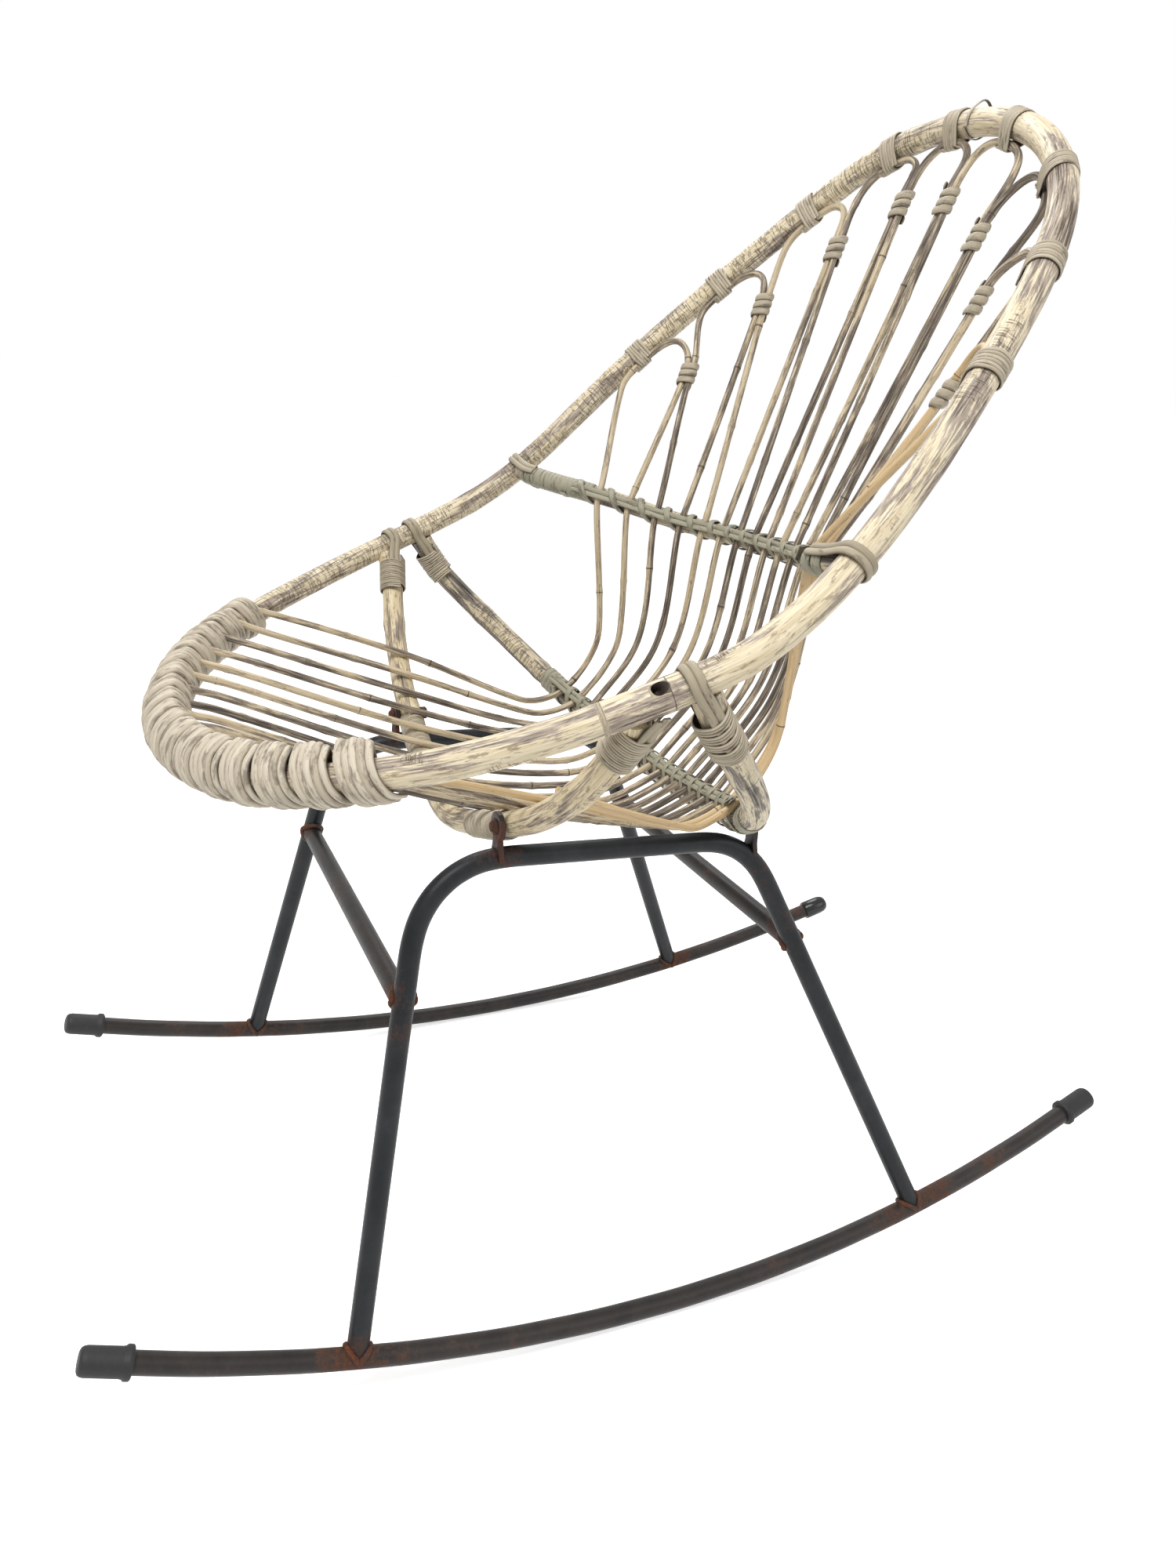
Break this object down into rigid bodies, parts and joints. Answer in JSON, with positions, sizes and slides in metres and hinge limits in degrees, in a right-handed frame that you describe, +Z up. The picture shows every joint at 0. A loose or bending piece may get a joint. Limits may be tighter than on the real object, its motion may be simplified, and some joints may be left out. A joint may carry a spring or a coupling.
{
  "type": "hoop back rocking chair",
  "caption": "Rattan bucket rocking chair: a bent rim pole with hairpin cane loops bound on by peel, held on hoops over a low base of bent steel tube on curved rockers.",
  "frame": {"origin": "on the floor under the rockers' contact line, in the chair's middle plane", "axes": "+Z up, the chair faces -Y, the sitter's left is +X"},
  "size_m": [0.6312, 0.88, 0.9213],
  "materials": {
    "steel_tube": "worn dark enamel, rusted",
    "weld_bead": "rusty weld",
    "bracket": "worn dark enamel, rusted",
    "bolt": "rusty",
    "screw": "dull",
    "cap_rubber": "matte",
    "glossy_cap": "glossy",
    "rim_rattan": "bare peeled rattan, weathered",
    "hoop_rattan": "bare peeled rattan, cracked",
    "cane_rattan": "thin cane, greyed",
    "peel": "grey-beige cane peel"
  },
  "bodies": {
    "root": {"arm_screw": "screw", "back_bar": "hoop_rattan", "bar_lacing": "peel", "bar_leader": "peel", "cross_tube_weld_beads": "weld_bead", "front_bracket_bolts": "bolt", "front_bracket_nuts": "bolt", "front_brackets": "bracket", "front_cross_tube": "steel_tube", "front_rim_binding": "peel", "front_seat_hoop": "hoop_rattan", "glossy_tip_cap": "glossy_cap", "left_bar_strap": "peel", "left_front_hoop_strap": "peel", "left_front_hoop_wrap": "peel", "left_leg_hoop": "steel_tube", "left_rear_hoop_strap": "peel", "left_rear_hoop_wrap": "peel", "left_rocker": "steel_tube", "leg_weld_beads": "weld_bead", "loop_cane_1": "cane_rattan", "loop_cane_2": "cane_rattan", "loop_cane_3": "cane_rattan", "loop_cane_4": "cane_rattan", "loop_cane_5": "cane_rattan", "loop_cane_6": "cane_rattan", "loop_cane_7": "cane_rattan", "loop_cane_8": "cane_rattan", "loop_cane_9": "cane_rattan", "loose_peel_curl": "peel", "matte_tip_caps": "cap_rubber", "pair_bindings": "peel", "rear_bracket_screws": "bolt", "rear_brackets": "bracket", "rear_cross_tube": "steel_tube", "rear_hoop_lacing": "peel", "rear_hoop_leader": "peel", "rear_seat_hoop": "hoop_rattan", "right_bar_strap": "peel", "right_front_hoop_strap": "peel", "right_front_hoop_wrap": "peel", "right_leg_hoop": "steel_tube", "right_rear_hoop_strap": "peel", "right_rear_hoop_wrap": "peel", "right_rocker": "steel_tube", "rim_pole": "rim_rattan", "rim_tie_1": "peel", "rim_tie_2": "peel", "rim_tie_3": "peel", "rim_tie_4": "peel", "rim_tie_5": "peel", "rim_tie_6": "peel", "rim_tie_7": "peel", "rim_tie_8": "peel", "rim_tie_9": "peel"}
  },
  "joints": []
}
